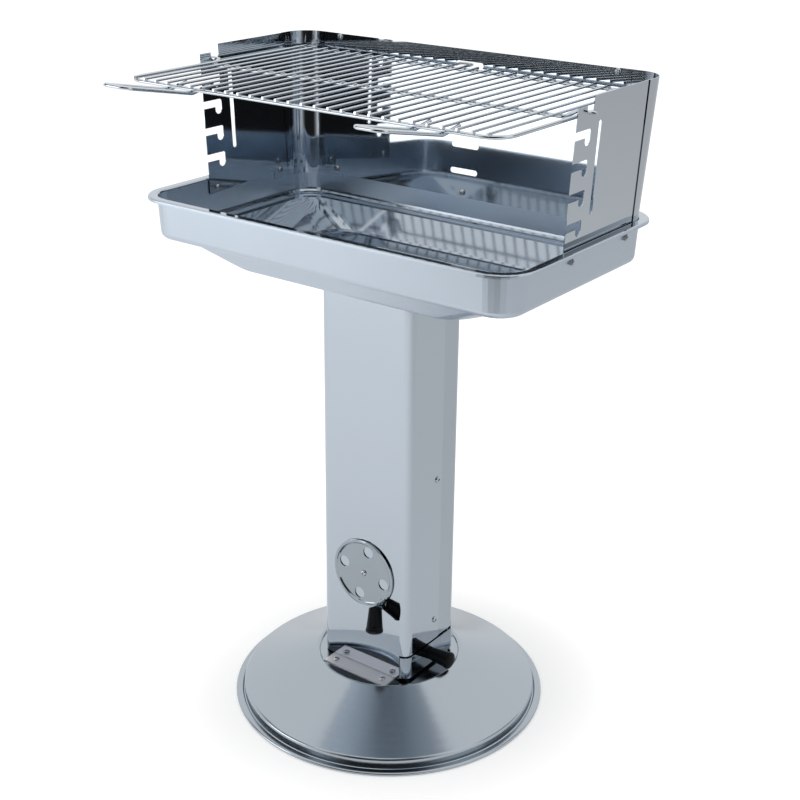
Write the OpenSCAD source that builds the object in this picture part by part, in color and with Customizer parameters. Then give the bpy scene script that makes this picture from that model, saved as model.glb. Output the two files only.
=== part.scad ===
// Pedestal charcoal barbecue of stainless sheet: a spun dish base, a column of two shells with an
// ash tray and an air damper, a deep fire pan, a windshield of five sheets and a wire grate.
// Millimetres. The origin is the centre of the base on the floor, +Z is up and -Y is the front.

/* [Base dish] */
// Outer radius of the rolled rim
rim_r = 229; // [215:1:245]
// Sheet thickness of the dish
base_t = 1.2; // [0.8:0.1:1.6]
// Outer radius of the rolled bead
bead_r = 2.6; // [2.2:0.1:3.5]
// Radius of the upright band
band_r = 216; // [190:1:218]
// Height of the shoulder above the floor
band_h = 19; // [15:1:30]
// Radius of the shoulder
shoulder_r = 5; // [3:0.5:8]
// Depth of the groove outside the band
groove_drop = 2; // [1:0.5:2.5]
// How far the cone sags below a straight line
cone_sag = 1.6; // [0:0.2:4]
// Radius of the ring bead round the plateau
ring_r = 106.5; // [98:0.5:112]
// Height of the ring bead
ring_h = 64; // [62:1:70]
// Half width of the ring bead
ring_bead = 3; // [2:0.5:4]
// Height of the plateau that the column stands on
plateau_h = 60; // [56:0.5:60]

/* [Column] */
// Width of the column
col_w = 153; // [146:1:160]
// Depth of the column
col_d = 121.6; // [116:1:130]
// Radius of its upright edges
col_r = 13; // [10:1:16]
// Sheet thickness of the shells
col_t = 1; // [0.8:0.1:1.2]
// Height of the column's top, which carries the pan
col_top = 647; // [560:1:700]
// Gap between the plateau and the column's lower edge
col_gap = 2; // [1.7:0.1:3]
// Where the front shell's edge lies on the sides, from the centre to the back
seam_y = 17; // [8:1:24]
// How far the front shell laps over the rear one
seam_lap = 21; // [16:1:24]
// Height of the lower seam screws
seam_screw_low = 135; // [125:1:180]
// Height of the upper seam screws
seam_screw_high = 360; // [300:1:480]
// Gap between the ash tray's panel and the column above it
tray_cut_gap = 3.4; // [2:0.1:6]

/* [Column fittings] */
// Thickness of the foot brackets
foot_t = 1.5; // [1:0.1:1.6]
// How far a foot bracket's ends lie inside the column's sides
foot_inset = 21; // [19:1:30]
// How far a foot reaches out of the column
foot_reach = 24.5; // [20:0.5:24.5]
// Distance of a foot's screws from its ends
foot_screw_inset = 13; // [8:1:20]
// Thickness of the frame in the column's top
frame_t = 1.5; // [1:0.1:2]
// Height of that frame's skirt
frame_h = 16; // [12:1:25]
// How far the pan bolts lie inside the column's faces
bolt_inset = 10.6; // [10:0.1:12]

/* [Air damper] */
// Height of the damper's centre
damper_z = 216; // [200:1:300]
// Radius of the damper disc
damper_r = 52; // [48:0.5:54]
// Sheet thickness of the disc
damper_t = 1; // [0.8:0.1:1.2]
// Height of the disc's raised bead
damper_bead = 2; // [1:0.2:2.6]
// Number of air holes
vent_n = 4; // [4:1:5]
// Radius of an air hole
vent_r = 8.5; // [6:0.5:9]
// Distance of the air holes from the centre
vent_pcd = 35.5; // [32:0.5:37]
// Angle of the first closed air hole
vent_angle = -12.4; // [-20:0.1:-5]

/* [Knobs] */
// Radius of a knob at its root
knob_root_r = 9.3; // [8:0.1:10]
// Radius of a knob at its end
knob_end_r = 12.6; // [11:0.1:14]
// Length of a knob
knob_l = 37; // [30:1:42]
// Lean of the damper knob out of the column's face
knob_lean = 38; // [34:1:42]
// Distance of the damper knob's root from the damper's centre
knob_root_out = 52; // [51:0.5:56]
// Distance of the damper knob's root from the disc
knob_root_off = 9; // [8.5:0.5:12]
// Height of the tray knob above the tray's foot
tray_knob_h = 16; // [14:1:20]

/* [Ash tray] */
// Height of the tray's underside above the ring bead
tray_lift = 0.6; // [0.3:0.1:1]
// How much shorter the tray's box is than the column is wide
tray_end_gap = 13; // [12:1:30]
// How far the tray's box stays inside the column's front and rear faces
tray_side_gap = 13.3; // [13.1:0.1:16]
// Height of the tray's box
tray_h = 27; // [20:1:28]
// Sheet thickness of the tray
tray_t = 1; // [0.6:0.1:1.2]
// Width of the rim that hangs on the runners
tray_rim = 6; // [5:0.5:6.5]
// Height of the tray's front panel
panel_h = 34; // [30:1:35]

/* [Fire pan] */
// Sheet thickness of the pan
pan_t = 1.2; // [0.8:0.1:1.4]
// Half width of the flat floor
floor_hw = 188; // [170:1:200]
// Half depth of the flat floor
floor_hd = 117; // [105:1:125]
// Half width where the slope meets the ledge
slope_hw = 264; // [250:1:268]
// Half depth where the slope meets the ledge
slope_hd = 143; // [135:1:146]
// Half width of the wall's outside at its top
wall_hw = 289; // [280:1:300]
// Half depth of the wall's outside at its top
wall_hd = 167; // [160:1:175]
// Lean of the walls and of the sheets that stand in them
lean = 3; // [2:0.1:4]
// Height of the ledge above the floor
ledge_h = 34; // [28:1:40]
// Height of the whole pan
pan_h = 93.7; // [85:0.1:100]
// Radius between ledge and wall
pan_foot_r = 8; // [5:0.5:10]
// Width of the lip outside the wall
lip_w = 12.5; // [9:0.5:16]
// Height of the lip's turned-down edge
lip_drop = 2.2; // [1:0.2:4]
// Corner radius of the wall
wall_corner_r = 38; // [36.5:0.5:44]
// How far the ash opening's edges lie inside the column's faces
open_inset = 26.6; // [25:0.2:30]

/* [Ash grid] */
// Thickness of the grid
grid_t = 1.5; // [1:0.1:2]
// How far the grid laps over the edge of the opening
grid_lap = 6; // [4:0.5:7]
// Width of a slot in the grid
grid_slot_w = 6; // [5:0.5:6.5]
// Number of slots in each row
grid_slots = 8; // [6:1:8]

/* [Windshield] */
// Sheet thickness of the windshield
shield_t = 1; // [0.8:0.1:1.2]
// How far the windshield's base line lies below the pan's top
shield_drop = 20.7; // [18:0.1:24]
// Height of the top edge above that base line
shield_h = 200; // [196:1:215]
// Front edge of the side sheets
side_front_y = -47; // [-60:1:-45]
// How much rounder the corner sheets are than the pan's corners
corner_relief = 1.25; // [1:0.05:3]
// Gap between a side sheet's rear edge and the corner's bend
side_edge_gap = 0.25; // [0.1:0.05:4]
// Gap between the back sheet's edges and the corners' bends
back_edge_gap = 4.7; // [1:0.1:8]
// Number of grate levels
level_n = 5; // [3:1:5]
// Distance between grate levels
level_pitch = 36.6; // [34:0.2:37]
// Height of the top level's seat
seat_h = 178.9; // [174:0.5:180]
// Middle of the seats from front to back
seat_y = -18; // [-20:0.5:-16]
// Width of a seat
seat_w = 12.5; // [11:0.5:14]
// Width of the open seat at the top
top_seat_w = 15; // [13:0.5:16]
// Height of the mouth that leads to a seat
mouth_h = 10; // [8:0.5:11]
// How far the front tab stays below the top edge
tab_drop = 10; // [8:1:12]
// Width of the back sheet's slots
back_slot_w = 45; // [40:1:60]
// Height of the back sheet's slots
back_slot_h = 8; // [7:0.5:10]
// Height of the topmost back slot above the base line
top_slot_h = 180; // [179:0.5:181.5]
// Distance of the back sheet's corner screws from its edges
back_screw_edge = 19; // [14:1:24]

/* [Cooking grate] */
// Mean gap between the grate's frame and the side sheets
grate_side_gap = 5.2; // [5:0.1:12]
// Distance of the grate's rear wire from the pan's rear wall
grate_rear_gap = 14.7; // [10:0.1:24]
// Depth of the grate from wire centre to wire centre
grate_d = 337; // [328:1:345]
// How far the grate sits to the right of the middle
grate_x = -3.5; // [-4:0.1:4]
// Wire radius of frame, cross wire and handles
wire_r = 2.5; // [2:0.1:2.6]
// Wire radius of the bars
bar_r = 1.75; // [1.5:0.05:2]
// Distance between bars
bar_pitch = 20; // [18:0.5:20.5]
// Least gap between the outer bars and the frame's side wires
bar_edge_gap = 4; // [4:0.5:8]
// Corner radius of the grate's frame
grate_corner_r = 28; // [20:1:40]
// How far the cross wire lies in front of the seats under the bars
cross_jog = 19; // [14:1:26]
// Distance between the two handles
handle_gap = 380; // [340:20:420]
// Width of a handle from wire centre to wire centre
handle_w = 40; // [40:20:80]
// How far a handle reaches in front of the grate
handle_reach = 111; // [80:1:140]
// How far a handle rises
handle_rise = 22; // [5:1:40]

/* [Fasteners] */
// Radius of a screw's shank
screw_r = 2.4; // [2:0.1:2.5]
// Radius of a screw's head
head_r = 4.6; // [4:0.1:5]
// Height of a screw's head
head_h = 2.6; // [2:0.1:3]
// Radius of a nut across its corners
nut_r = 4.6; // [4:0.1:5]
// Height of a nut
nut_h = 3.6; // [3:0.1:4]

/* [Hidden] */
$fn = 48;

// Overrun of every cut, and the small gaps that keep pieces apart
cut = 1;
sheet_gap = 0.2;
seat_gap = 0.3;
run_gap = 0.05;
hole_gap = 0.2;
hole_r = screw_r + hole_gap;

// Levels that follow from the sizes above
floor_z = col_top;
pan_top = floor_z + pan_h;
col_z0 = plateau_h + col_gap;
tray_z = ring_h + tray_lift;
tray_cut_z = tray_z + panel_h + tray_cut_gap;
open_hw = col_w / 2 - open_inset;
open_hd = col_d / 2 - open_inset;
bead_step = 24;
bead_z = bead_r * cos(bead_step / 2);

// Points of an arc, and the outline of a sheet that follows a path
function arc(centre, r, a0, a1, n) =
    [for (k = [0:n]) centre + r * [cos(a0 + (a1 - a0) * k / n), sin(a0 + (a1 - a0) * k / n)]];
function unit(v) = v / norm(v);
function left_of(v) = [-v.y, v.x];
function path_normal(p, i) =
    let (n = len(p), a = max(i - 1, 0), b = min(i + 1, n - 1))
    let (u = i == 0 ? p[1] - p[0] : p[i] - p[a], w = i == n - 1 ? p[i] - p[a] : p[b] - p[i])
    let (m = unit(left_of(unit(u)) + left_of(unit(w))))
    m / (m * left_of(unit(w)));
function offset_path(p, d) = [for (i = [0:len(p) - 1]) p[i] + d * path_normal(p, i)];
function reversed(p) = [for (i = [len(p) - 1:-1:0]) p[i]];
function sheet_outline(p, t) = concat(offset_path(p, t / 2), reversed(offset_path(p, -t / 2)));

// Repeated shapes
module rounded_rect(w, d, r) {
    square([w - 2 * r, d], center = true);
    square([w, d - 2 * r], center = true);
    for (sx = [-1, 1], sy = [-1, 1]) translate([sx * (w / 2 - r), sy * (d / 2 - r)]) circle(r);
}
module round_slot(w, h) {
    square([w - h, h], center = true);
    for (s = [-1, 1]) translate([s * (w - h) / 2, 0]) circle(h / 2);
}
module flip(s) {
    if (s < 0) mirror([1, 0, 0]) children();
    else children();
}
module rod(a, b, r) {
    v = b - a;
    translate(a) rotate([0, acos(v.z / norm(v)), atan2(v.y, v.x)]) cylinder(h = norm(v), r = r);
}
// A wire through the given points, with a bend of one radius at each inner point. A bend is a little
// thicker than its wire, and takes in the ends of the straight pieces.
bend_swell = 0.03;
bend_over = 0.3;
function bend_angle(p, i) = acos(unit(p[i] - p[i - 1]) * unit(p[i + 1] - p[i]));
function bend_cut(p, i, bend_r) =
    i == 0 || i == len(p) - 1 ? 0 : bend_r * tan(bend_angle(p, i) / 2);
function turn_to(x, y, z) = [atan2(y.z, z.z), -asin(x.z), atan2(x.y, x.x)];
module wire(p, r, bend_r) {
    for (i = [1:len(p) - 1]) {
        u = unit(p[i] - p[i - 1]);
        a = i == 1 ? 0 : bend_cut(p, i - 1, bend_r) - bend_over;
        b = i == len(p) - 1 ? 0 : bend_cut(p, i, bend_r) - bend_over;
        rod(p[i - 1] + a * u, p[i] - b * u, r);
    }
    for (i = [1:len(p) - 2]) {
        u = unit(p[i] - p[i - 1]);
        n = unit(cross(u, p[i + 1] - p[i]));
        translate(p[i] - bend_cut(p, i, bend_r) * u + bend_r * cross(n, u))
            rotate(turn_to(cross(u, n), u, n)) rotate_extrude(angle = bend_angle(p, i))
                translate([bend_r, 0]) circle(r + bend_swell);
    }
}
// A pan-head screw: its head rises from z = 0 and its shank goes down from there
recess_l = head_r;
recess_w = head_r / 4;
module pan_head_screw(length) {
    difference() {
        rotate_extrude() polygon(concat([[0, -length], [screw_r, -length], [screw_r, 0], [head_r, 0]],
            [for (a = [20:14:90]) [head_r * pow(cos(a), 0.6), head_h * pow(sin(a), 0.8)]],
            [[0, head_h]]));
        for (a = [0, 90]) rotate([0, 0, a])
            translate([-recess_l / 2, -recess_w / 2, head_h / 2])
                cube([recess_l, recess_w, head_h]);
    }
}
module hex_nut() {
    difference() {
        cylinder(h = nut_h, r = nut_r, $fn = 6);
        translate([0, 0, -cut]) cylinder(h = nut_h + 2 * cut, r = screw_r + run_gap);
    }
}
// What a screw's end stands out of its nut
screw_end = nut_h / 3;

// Base dish
plateau_z = plateau_h - base_t / 2;
ring_c = [ring_r, ring_h - base_t / 2 - ring_bead];
rim_c = [rim_r - bead_r, bead_z];
flange_z = bead_z + bead_r - base_t / 2;
shoulder_c = [band_r - shoulder_r, band_h - shoulder_r];
cone_angle = atan2(ring_c.y + ring_bead - band_h, shoulder_c.x - ring_r);
cone_foot = shoulder_c + shoulder_r * [sin(cone_angle), cos(cone_angle)];
cone_head = ring_c + ring_bead * [sin(cone_angle), cos(cone_angle)];
cone_steps = 8;
function cone_point(s) =
    cone_foot + s * (cone_head - cone_foot) - [0, 4 * cone_sag * s * (1 - s)];
function base_path() = concat(
    [for (a = [-150:bead_step:90]) rim_c + (bead_r - base_t / 2) * [cos(a), sin(a)]],
    [[band_r + 2 * groove_drop, flange_z], [band_r + groove_drop, flange_z - groove_drop],
     [band_r, flange_z - groove_drop / 2]],
    arc(shoulder_c, shoulder_r, 0, 90 - cone_angle, 5),
    [for (k = [1:cone_steps - 1]) cone_point(k / cone_steps)],
    arc(ring_c, ring_bead, 90 - cone_angle, 160, 6),
    [[ring_r - ring_bead - 2 * base_t / 3, plateau_z + base_t / 3],
     [ring_r - ring_bead - 4 * base_t / 3, plateau_z], [0, plateau_z]]);
module base_dish() color([0.74, 0.77, 0.8]) difference() {
    rotate_extrude($fn = 96) polygon(sheet_outline(base_path(), base_t));
    for (s = [-1, 1]) foot_places(s) translate([0, 0, -base_t - cut])
        cylinder(h = base_t + 2 * cut, r = hole_r);
}

// Foot brackets: a foot outside, an upright leg inside the column and a runner for the tray
foot_w = col_w - 2 * foot_inset;
foot_pitch = foot_w - 2 * foot_screw_inset;
tray_l = col_w - tray_end_gap;
tray_d = col_d - 2 * tray_side_gap;
foot_y = col_d / 2 - col_t - sheet_gap;
runner_top = tray_z + tray_h - tray_t - seat_gap;
runner_w = foot_y - tray_d / 2 - sheet_gap - seat_gap;
module foot_places(s) {
    for (sx = [-1, 1])
        translate([sx * foot_pitch / 2, s * (col_d / 2 + foot_reach / 2), plateau_h]) children();
}
module foot_bracket(s) {
    tip = foot_y + foot_t / 2;
    profile = [[col_d / 2 + foot_reach, plateau_h + foot_t / 2], [tip - foot_t, plateau_h + foot_t / 2],
        [tip - foot_t, runner_top - foot_t / 2], [foot_y - runner_w, runner_top - foot_t / 2]];
    difference() {
        rotate([90, 0, s * 90]) translate([0, 0, -foot_w / 2])
            linear_extrude(foot_w) polygon(sheet_outline(profile, foot_t));
        foot_places(s) translate([0, 0, -cut]) cylinder(h = foot_t + 2 * cut, r = hole_r);
    }
}
module foot_bracket_front() color([0.72, 0.74, 0.78]) foot_bracket(-1);
module foot_bracket_rear() color([0.72, 0.74, 0.78]) foot_bracket(1);
module foot_screws() color([0.55, 0.57, 0.6]) for (s = [-1, 1]) foot_places(s)
    translate([0, 0, foot_t]) pan_head_screw(foot_t + base_t + nut_h + screw_end);
module foot_nuts() color([0.5, 0.52, 0.55]) for (s = [-1, 1]) foot_places(s)
    translate([0, 0, -base_t - nut_h]) hex_nut();

// Column shells
shell_h = col_top - col_z0;
rear_w = col_w - 2 * (col_t + sheet_gap);
tray_cut_x = col_w / 2 - col_r;
seam_screw_y = seam_y - seam_lap / 2;
module column_tube(w) {
    translate([0, 0, col_z0]) linear_extrude(shell_h) difference() {
        rounded_rect(w, col_d, col_r);
        rounded_rect(w - 2 * col_t, col_d - 2 * col_t, col_r - col_t);
    }
}
module tray_cut() {
    translate([tray_cut_x, -col_d, col_z0 - cut]) cube([col_w, 2 * col_d, tray_cut_z - col_z0 + cut]);
}
module seam_places() {
    for (s = [-1, 1], z = [seam_screw_low, seam_screw_high]) flip(s) translate([col_w / 2, seam_screw_y, z])
        rotate([0, 90, 0]) children();
}
module seam_holes() {
    seam_places() translate([0, 0, -3 * col_t]) cylinder(h = 4 * col_t, r = screw_r + run_gap);
}
module damper_place() {
    translate([0, -col_d / 2, damper_z]) rotate([90, 0, 0]) children();
}
module vents(start, depth) {
    for (k = [0:vent_n - 1]) rotate([0, 0, start + 360 * k / vent_n])
        translate([vent_pcd, 0, -depth]) cylinder(h = 2 * depth, r = vent_r);
}
module column_front() color([0.78, 0.8, 0.83]) difference() {
    column_tube(col_w);
    translate([-col_w, seam_y, col_z0 - cut]) cube([2 * col_w, col_d, shell_h + 2 * cut]);
    tray_cut();
    seam_holes();
    damper_place() {
        vents(vent_angle + 180 / vent_n, 2 * col_t);
        translate([0, 0, -2 * col_t]) cylinder(h = 4 * col_t, r = screw_r + run_gap);
    }
}
module column_rear() color([0.76, 0.78, 0.81]) difference() {
    column_tube(rear_w);
    translate([-col_w, -col_d, col_z0 - cut])
        cube([2 * col_w, col_d + seam_y - seam_lap, shell_h + 2 * cut]);
    tray_cut();
    seam_holes();
}
module seam_screws() color([0.5, 0.52, 0.55]) seam_places() pan_head_screw(4 * col_t);

// Frame that closes the column's top and takes the pan bolts
frame_w = rear_w - 2 * (col_t + sheet_gap);
frame_d = col_d - 2 * (col_t + sheet_gap);
frame_r = col_r - col_t;
bolt_x = col_w - 2 * bolt_inset;
bolt_y = col_d - 2 * bolt_inset;
module bolt_places() {
    for (sx = [-1, 1], sy = [-1, 1]) translate([sx * bolt_x / 2, sy * bolt_y / 2, 0]) children();
}
module column_top_frame() color([0.6, 0.62, 0.65]) difference() {
    translate([0, 0, col_top - frame_h]) linear_extrude(frame_h) rounded_rect(frame_w, frame_d, frame_r);
    translate([0, 0, col_top - frame_h - cut]) linear_extrude(frame_h - frame_t + cut)
        rounded_rect(frame_w - 2 * frame_t, frame_d - 2 * frame_t, frame_r - frame_t);
    translate([0, 0, col_top - frame_t - cut]) linear_extrude(frame_t + 2 * cut)
        rounded_rect(2 * (open_hw + grid_lap), 2 * (open_hd + grid_lap), grid_lap);
    bolt_places() translate([0, 0, col_top - frame_t - cut])
        cylinder(h = frame_t + 2 * cut, r = hole_r);
}
module pan_bolts() color([0.5, 0.52, 0.55]) bolt_places() translate([0, 0, floor_z + pan_t])
    pan_head_screw(pan_t + frame_t + nut_h + screw_end);
module pan_nuts() color([0.5, 0.52, 0.55]) bolt_places()
    translate([0, 0, floor_z - frame_t - nut_h]) hex_nut();

// Air damper: everything is drawn on the column's face, with +Z out of it
damper_off = seat_gap;
disc_z = damper_off + damper_t / 2;
bead_w = 2 * damper_bead;
knob_angle = vent_angle - 180 / vent_n;
ear_w = 1.4 * knob_root_r;
ear_t = damper_t;
damper_path = [[0, disc_z], [damper_r - 1.6 * bead_w, disc_z],
    [damper_r - 1.2 * bead_w, disc_z + damper_bead / 2],
    [damper_r - bead_w, disc_z + damper_bead], [damper_r - bead_w / 2, disc_z + damper_bead],
    [damper_r - bead_w / 6, disc_z + 0.8 * damper_bead], [damper_r - damper_t / 2, disc_z + damper_bead / 4],
    [damper_r - damper_t / 2, disc_z]];
// Root of the knob and the ear under it, as places in the plane through the knob's axis
knob_root = [knob_root_out, damper_off + damper_t + knob_root_off];
knob_dir = [cos(knob_lean), sin(knob_lean)];
ear_side = [sin(knob_lean), -cos(knob_lean)];
ear_run = (knob_root.y - disc_z - damper_bead) / cos(knob_lean);
ear_path = [knob_root - ear_t / 2 * knob_dir - ear_side * 0.8 * knob_root_r,
    knob_root - ear_t / 2 * knob_dir + ear_side * ear_run,
    [damper_r - bead_w, disc_z + damper_bead + ear_t]];
module damper_disc() color([0.8, 0.82, 0.85]) damper_place() difference() {
    union() {
        rotate_extrude($fn = 96) polygon(sheet_outline(damper_path, damper_t));
        rotate([0, 0, knob_angle]) rotate([90, 0, 0]) translate([0, 0, -ear_w / 2])
            linear_extrude(ear_w) polygon(sheet_outline(ear_path, ear_t));
    }
    vents(vent_angle, 2 * damper_bead);
    translate([0, 0, -cut]) cylinder(h = damper_off + damper_t + 2 * cut, r = screw_r + run_gap);
    knob_place() translate([0, 0, -2 * ear_t]) cylinder(h = 3 * ear_t, r = knob_screw_r + run_gap);
}
module damper_screw() color([0.5, 0.52, 0.55]) damper_place()
    translate([0, 0, damper_off + damper_t + run_gap])
        pan_head_screw(damper_off + damper_t + run_gap + col_t + nut_h + screw_end);
module damper_nut() color([0.5, 0.52, 0.55]) damper_place() translate([0, 0, -col_t - nut_h]) hex_nut();

// Knobs, drawn along +Z from the root
knob_screw_r = 2;
knob_screw_l = 12;
knob_dome = knob_end_r / 4;
knob_edge = knob_root_r / 8;
module knob_body() {
    flare = knob_end_r - knob_root_r;
    dome_z = knob_l - knob_dome;
    difference() {
        rotate_extrude() polygon(concat(
            [[0, 0], [knob_root_r - knob_edge, 0], [knob_root_r, knob_edge]],
            [for (s = [0.25, 0.5, 0.75]) [knob_root_r + flare * pow(s, 1.2), s * knob_l]],
            [[knob_end_r, dome_z - 0.6 * knob_dome], [knob_end_r - knob_edge / 2, dome_z]],
            [for (a = [15:15:90]) [(knob_end_r - knob_edge) * cos(a), dome_z + knob_dome * sin(a)]]));
        translate([0, 0, -cut]) cylinder(h = knob_screw_l + cut, r = knob_screw_r + run_gap);
    }
}
module knob_screw(grip) {
    end_z = knob_edge - grip - knob_screw_l;
    translate([0, 0, -grip]) rotate([180, 0, 0]) rotate_extrude()
        polygon([[0, end_z], [knob_screw_r, end_z], [knob_screw_r, 0], [2 * knob_screw_r, 0],
            [1.8 * knob_screw_r, knob_screw_r], [0, 1.1 * knob_screw_r]]);
}
module knob_place() {
    rotate([0, 0, knob_angle]) translate([knob_root.x, 0, knob_root.y])
        rotate([0, 90 - knob_lean, 0]) children();
}
module damper_knob() color([0.06, 0.06, 0.07]) damper_place() knob_place() knob_body();
module damper_knob_screw() color([0.5, 0.52, 0.55]) damper_place() knob_place() knob_screw(ear_t);

// Ash tray: a box whose rim hangs on the runners, with a front panel that closes the column
tray_x1 = col_w / 2 - col_t;
tray_x0 = tray_x1 - tray_l;
module tray_knob_place() {
    translate([col_w / 2, 0, tray_z + tray_knob_h]) rotate([0, 90, 0]) children();
}
module ash_tray() color([0.7, 0.72, 0.75]) difference() {
    union() {
        translate([tray_x0, -tray_d / 2, tray_z]) cube([tray_l, tray_d, tray_h]);
        for (s = [-1, 1])
            translate([tray_x0, s * (tray_d + tray_rim) / 2 - tray_rim / 2, tray_z + tray_h - tray_t])
                cube([tray_l - col_r, tray_rim, tray_t]);
    }
    translate([tray_x0 + tray_t, tray_t - tray_d / 2, tray_z + tray_t])
        cube([tray_l - 2 * tray_t, tray_d - 2 * tray_t, tray_h]);
    tray_knob_place() translate([0, 0, -4 * tray_t]) cylinder(h = 5 * tray_t, r = knob_screw_r + run_gap);
}
module tray_front_panel() color([0.78, 0.8, 0.83]) difference() {
    translate([0, 0, tray_z]) linear_extrude(panel_h) difference() {
        rounded_rect(col_w, col_d, col_r);
        rounded_rect(col_w - 2 * col_t, col_d - 2 * col_t, col_r - col_t);
    }
    translate([-col_w, -col_d, tray_z - cut])
        cube([col_w + tray_cut_x + col_t, 2 * col_d, panel_h + 2 * cut]);
    tray_knob_place() translate([0, 0, -4 * tray_t]) cylinder(h = 5 * tray_t, r = knob_screw_r + run_gap);
}
module tray_knob() color([0.06, 0.06, 0.07]) tray_knob_place() knob_body();
module tray_knob_screw() color([0.5, 0.52, 0.55]) tray_knob_place() knob_screw(col_t + tray_t);

// Fire pan: one sheet lofted from the ash opening over floor, slope, ledge and wall to the lip
floor_path_z = floor_z + pan_t / 2;
ledge_z = floor_path_z + ledge_h;
ledge_rise = pan_t;
lip_z = pan_top - pan_t / 2;
lip_root_r = 2 * pan_t;
lip_edge_r = 1.5 * pan_t;
floor_corner_r = 40;
slope_corner_r = 34;
open_corner_r = 10;
corner_steps = 8;
foot_steps = 4;
// Middle of the wall's sheet at height z, for a wall whose outside stands at half size h on top
function wall_mid(h, z) = h - pan_t / 2 - (lip_z - z) * tan(lean);
function pan_path(open_h, floor_h, slope_h, wall_h) =
    let (foot_z = ledge_z + ledge_rise + pan_foot_r, end_z = foot_z - pan_foot_r * sin(lean))
    let (foot_x = wall_mid(wall_h, end_z) - pan_foot_r * cos(lean))
    let (root_z = lip_z - lip_root_r, root_x = wall_mid(wall_h, root_z) + lip_root_r * cos(lean))
    concat([[open_h, floor_path_z], [floor_h - pan_foot_r / 2, floor_path_z],
            [floor_h, floor_path_z + pan_foot_r / 8],
            [floor_h + (slope_h - floor_h) * 0.1, floor_path_z + ledge_h * 0.1],
            [slope_h - (slope_h - floor_h) * 0.06, ledge_z - ledge_h * 0.06], [slope_h, ledge_z]],
        arc([foot_x, foot_z], pan_foot_r, -90, -lean, foot_steps),
        arc([root_x, root_z], lip_root_r, 180 - lean, 90, foot_steps),
        arc([wall_h + lip_w - pan_t / 2 - lip_edge_r, lip_z - lip_edge_r], lip_edge_r, 90, 0, 3),
        [[wall_h + lip_w - pan_t / 2, lip_z - lip_edge_r - lip_drop]]);
pan_path_w = pan_path(open_hw, floor_hw, slope_hw, wall_hw);
pan_path_d = pan_path(open_hd, floor_hd, slope_hd, wall_hd);
pan_n = len(pan_path_w);
function ring_radius(i) = i == 0 ? open_corner_r : i < 4 ? floor_corner_r : i < 6 ? slope_corner_r :
    wall_corner_r + pan_path_w[i].x - wall_hw;
function pan_ring(i, side) =
    let (nw = path_normal(pan_path_w, i), nd = path_normal(pan_path_d, i), h = side * pan_t / 2)
    let (w = pan_path_w[i] + h * nw, d = pan_path_d[i] + h * nd, r = ring_radius(i) + h * nw.x)
    [for (q = [0:3], k = [0:corner_steps]) let (a = 90 * (q + k / corner_steps),
        sx = q == 0 || q == 3 ? 1 : -1, sy = q < 2 ? 1 : -1)
        [sx * (w.x - r) + r * cos(a), sy * (d.x - r) + r * sin(a),
         w.y * pow(cos(a), 2) + d.y * pow(sin(a), 2)]];
module loft(rings) {
    m = len(rings[0]);
    n = len(rings);
    polyhedron([for (ring = rings) each ring],
        [for (j = [0:n - 1], k = [0:m - 1]) let (a = j * m + k, b = j * m + (k + 1) % m,
            c = (j + 1) % n * m + (k + 1) % m, d = (j + 1) % n * m + k)
            each [[a, d, c], [a, c, b]]]);
}
module fire_pan() color([0.72, 0.76, 0.82]) difference() {
    loft(concat([for (i = [0:pan_n - 1]) pan_ring(i, -1)], [for (i = [pan_n - 1:-1:0]) pan_ring(i, 1)]));
    bolt_places() translate([0, 0, floor_z - cut]) cylinder(h = pan_t + 2 * cut, r = hole_r);
    for (s = [-1, 1]) side_frame(s) wall_screw_places_side() wall_hole();
    back_frame() wall_screw_places_back() wall_hole();
}

// Grid over the ash opening, with a skirt that keeps it in place
grid_hw = open_hw + grid_lap;
grid_hd = open_hd + grid_lap;
skirt_h = 3 * grid_lap / 4;
grid_z = floor_z + pan_t + seat_gap;
grid_bar = grid_hw * 2 / (grid_slots + 1) - grid_slot_w;
module ash_grid() color([0.5, 0.53, 0.57]) difference() {
    union() {
        translate([0, 0, grid_z]) linear_extrude(grid_t)
            rounded_rect(2 * grid_hw, 2 * grid_hd, open_corner_r);
        translate([0, 0, grid_z - skirt_h]) linear_extrude(skirt_h + grid_t / 2) difference() {
            rounded_rect(2 * (open_hw - grid_t), 2 * (open_hd - grid_t), open_corner_r - grid_t);
            rounded_rect(2 * (open_hw - 2 * grid_t), 2 * (open_hd - 2 * grid_t), open_corner_r - 2 * grid_t);
        }
    }
    for (row = [-1, 1], k = [0:grid_slots - 1])
        translate([(k - (grid_slots - 1) / 2) * (grid_slot_w + grid_bar) * open_hw / grid_hw,
                   row * open_hd / 2, grid_z - cut])
            rotate([0, 0, 90]) linear_extrude(grid_t + 2 * cut)
                round_slot(open_hd - 2 * grid_lap, grid_slot_w);
}

// Windshield: sheets stand against the pan's leaning walls, drawn in frames that lean with them.
// In a side frame +X is out of the pan and +Z goes up the wall; x = 0 is the wall's inner face.
lean_z = pan_top - shield_drop;
function wall_in(h) = wall_mid(h, lean_z) - pan_t / 2 / cos(lean);
module side_frame(s) flip(s) translate([wall_in(wall_hw), 0, lean_z]) rotate([0, lean, 0]) children();
module back_frame() translate([0, wall_in(wall_hd), lean_z]) rotate([-lean, 0, 0]) children();
corner_out = -sheet_gap;
corner_in = corner_out - shield_t;
panel_out = corner_in - sheet_gap;
panel_in = panel_out - shield_t;
corner_r = wall_corner_r - wall_hw + wall_in(wall_hw) + corner_relief;
side_rear_y = wall_in(wall_hd) - corner_r - side_edge_gap;
back_hw = wall_in(wall_hw) - corner_r - back_edge_gap;
wall_screw_h = 4.5;
side_screw_front_edge = 16;
side_screw_front_y = side_front_y + side_screw_front_edge;
side_screw_rear_edge = 24.5;
side_screw_rear_y = side_rear_y - side_screw_rear_edge;
side_bottom_front = -3;
side_bottom_rear = 7;
tab_l = 35.5;
tab_front_y = side_rear_y - tab_l;
tab_bottom = -7;
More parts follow.
